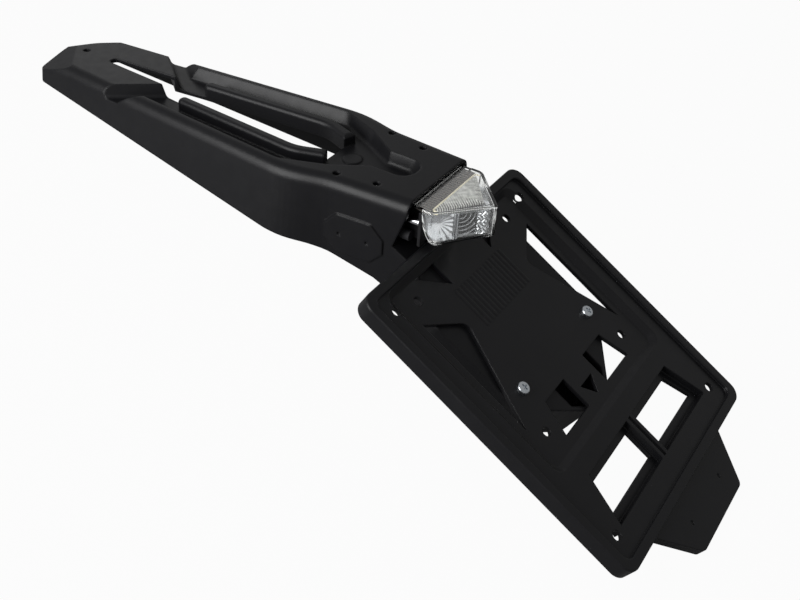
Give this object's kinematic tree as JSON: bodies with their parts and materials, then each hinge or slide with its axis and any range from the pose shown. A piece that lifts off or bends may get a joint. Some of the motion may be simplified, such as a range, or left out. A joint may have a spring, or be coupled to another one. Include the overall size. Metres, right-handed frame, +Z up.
{
  "type": "tail tidy",
  "caption": "Moulded black tail tidy with a long kite slot in the body, a sloping number plate frame with a reflector tab, and a clear arrow-shaped tail light between them.",
  "frame": {"origin": "midway between the front pair of deck bolt holes, on the top face of the deck", "axes": "+Y forward to the nose, +Z up out of the deck, +X across"},
  "size_m": [0.19, 0.5371, 0.1698],
  "materials": {
    "body_plastic": "satin black moulding with a fine grain",
    "frame_plastic": "satin black moulding with a fine grain",
    "zinc_steel": "bright zinc plating",
    "housing_plastic": "matte black moulding",
    "bright_metal": "bright plated",
    "dark_rubber": "dull black",
    "clear_lens": "clear polished plastic",
    "frosted_plastic": "frosted pale plastic",
    "board_plastic": "pale lacquered board",
    "lamp_plastic": "pale yellow lamp faces"
  },
  "bodies": {
    "root": {"main_body": "body_plastic", "plate_frame": "frame_plastic", "plate_screws": "zinc_steel", "plate_nuts": "zinc_steel", "light_housing": "housing_plastic", "light_posts": "bright_metal", "light_stubs": "dark_rubber", "light_lens": "clear_lens", "light_reflector": "bright_metal", "light_diffuser": "frosted_plastic", "light_board": "board_plastic", "light_leds": "lamp_plastic"}
  },
  "joints": []
}
